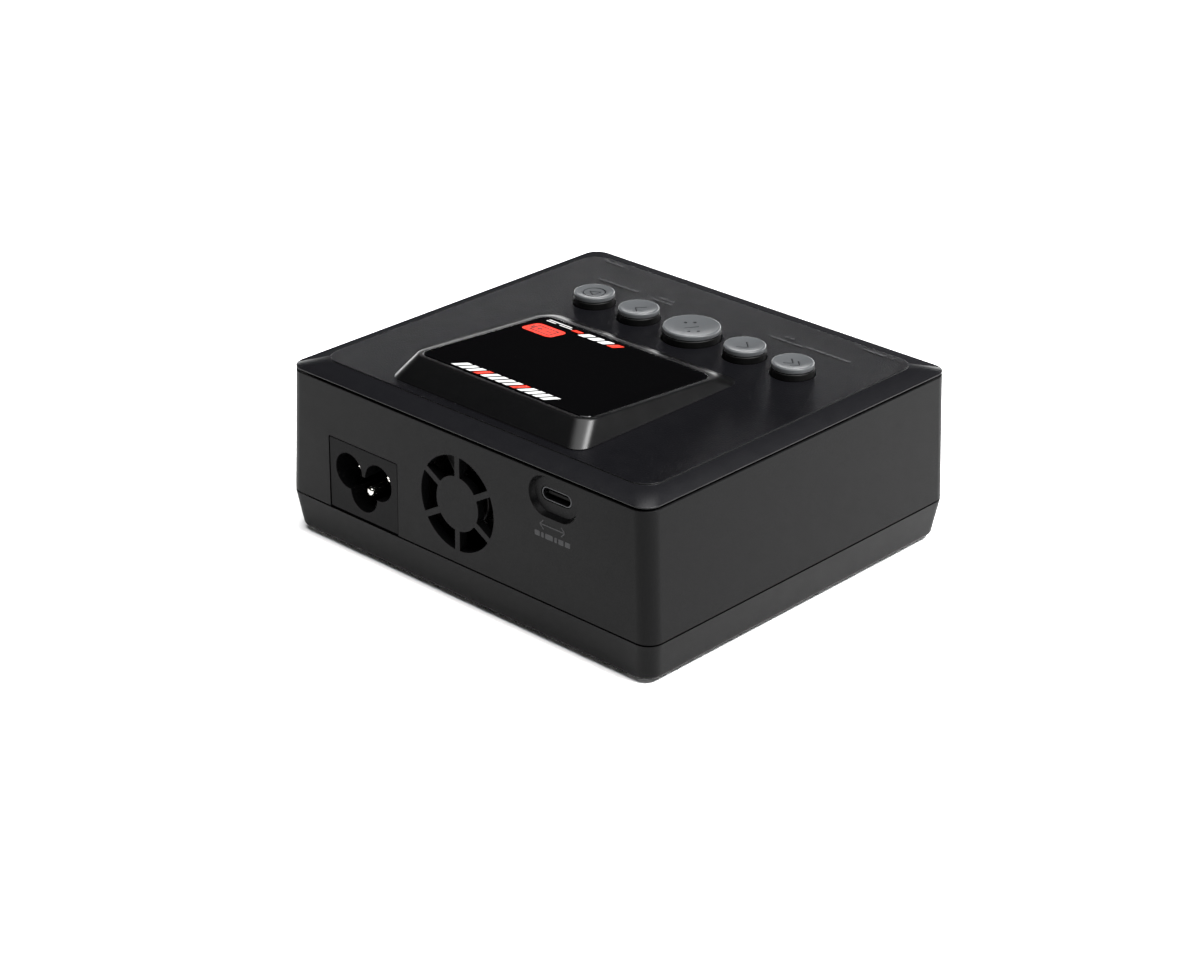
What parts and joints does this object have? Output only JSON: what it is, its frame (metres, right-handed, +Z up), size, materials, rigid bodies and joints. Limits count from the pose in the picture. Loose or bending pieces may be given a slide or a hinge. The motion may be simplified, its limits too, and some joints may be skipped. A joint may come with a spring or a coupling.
{
  "type": "balance battery charger",
  "caption": "Low desktop charger for model batteries: boxy case, raised sloping display, row of round keys, mains inlet, fan grille and data port behind, output and balance sockets in front.",
  "frame": {"origin": "on the table, under the middle of the case", "axes": "+Z up, +Y towards the rear with the mains inlet, +X towards the inlet side"},
  "size_m": [0.1172, 0.1064, 0.0502],
  "materials": {
    "case_plastic": "fine moulded grain, satin black",
    "bezel_plastic": "satin black, smoother than the case",
    "lens": "smoked window, mirror gloss",
    "display": "dark display panel",
    "key_grey": "satin mid grey",
    "key_skirt": "black",
    "socket_black": "semi-matt black",
    "steel": "plated steel",
    "brass": "gold flashed contact",
    "board": "green solder mask",
    "fan_plastic": "black",
    "rubber": "matt",
    "ferrite": "dark ceramic",
    "winding_tape": "polyester tape",
    "aluminium": "plain extrusion",
    "sleeve": "shrink sleeve",
    "copper": "enamelled wire",
    "print_white": "printed white ink",
    "print_red": "printed red ink",
    "print_grey": "printed grey ink"
  },
  "bodies": {
    "case": {"base_tray": "case_plastic", "mid_housing": "case_plastic", "top_cover": "case_plastic", "display_bezel": "bezel_plastic", "display_lens": "lens", "lcd_module": "display", "control_board": "board", "main_board": "board", "fan_frame": "fan_plastic", "ac_inlet_body": "socket_black", "data_port_tongue": "socket_black", "output_socket_left": "socket_black", "output_socket_right": "socket_black", "balance_port_left": "socket_black", "balance_port_right": "socket_black", "buzzer": "socket_black", "inlet_pin_live": "steel", "inlet_pin_neutral": "steel", "inlet_pin_earth": "steel", "data_port_shell": "steel", "output_blade_left_negative": "brass", "output_blade_left_positive": "brass", "output_blade_right_negative": "brass", "output_blade_right_positive": "brass", "balance_pins_left": "brass", "balance_pins_right": "brass", "transformer_core": "ferrite", "transformer_winding": "winding_tape", "bulk_capacitor": "sleeve", "input_fuse": "sleeve", "rectifier_heat_sink": "aluminium", "output_heat_sink": "aluminium", "input_choke": "copper", "output_inductor_left": "copper", "output_inductor_right": "copper", "foot_1": "rubber", "case_screw_1": "steel", "foot_2": "rubber", "case_screw_2": "steel", "foot_3": "rubber", "case_screw_3": "steel", "foot_4": "rubber", "case_screw_4": "steel", "button_switch_1": "socket_black", "button_switch_2": "socket_black", "button_switch_3": "socket_black", "button_switch_4": "socket_black", "button_switch_5": "socket_black"},
    "button_1": {"button_1_skirt": "key_skirt", "button_1_cap": "key_grey"},
    "button_2": {"button_2_skirt": "key_skirt", "button_2_cap": "key_grey"},
    "button_3": {"button_3_skirt": "key_skirt", "button_3_cap": "key_grey"},
    "button_4": {"button_4_skirt": "key_skirt", "button_4_cap": "key_grey"},
    "button_5": {"button_5_skirt": "key_skirt", "button_5_cap": "key_grey"},
    "fan": {"fan_rotor": "fan_plastic"}
  },
  "joints": [
    {"name": "button_1_press", "type": "slide", "parent": "case", "child": "button_1", "axis": [0, 0, -1], "range_m": [0, 0.0008], "stiffness_N_per_m": 1500},
    {"name": "button_2_press", "type": "slide", "parent": "case", "child": "button_2", "axis": [0, 0, -1], "range_m": [0, 0.0008], "stiffness_N_per_m": 1500},
    {"name": "button_3_press", "type": "slide", "parent": "case", "child": "button_3", "axis": [0, 0, -1], "range_m": [0, 0.0008], "stiffness_N_per_m": 1500},
    {"name": "button_4_press", "type": "slide", "parent": "case", "child": "button_4", "axis": [0, 0, -1], "range_m": [0, 0.0008], "stiffness_N_per_m": 1500},
    {"name": "button_5_press", "type": "slide", "parent": "case", "child": "button_5", "axis": [0, 0, -1], "range_m": [0, 0.0008], "stiffness_N_per_m": 1500},
    {"name": "fan_spin", "type": "hinge", "parent": "case", "child": "fan", "pos_m": [0.0006, 0.0458, 0.0256], "axis": [0, 1, 0], "continuous": true}
  ]
}
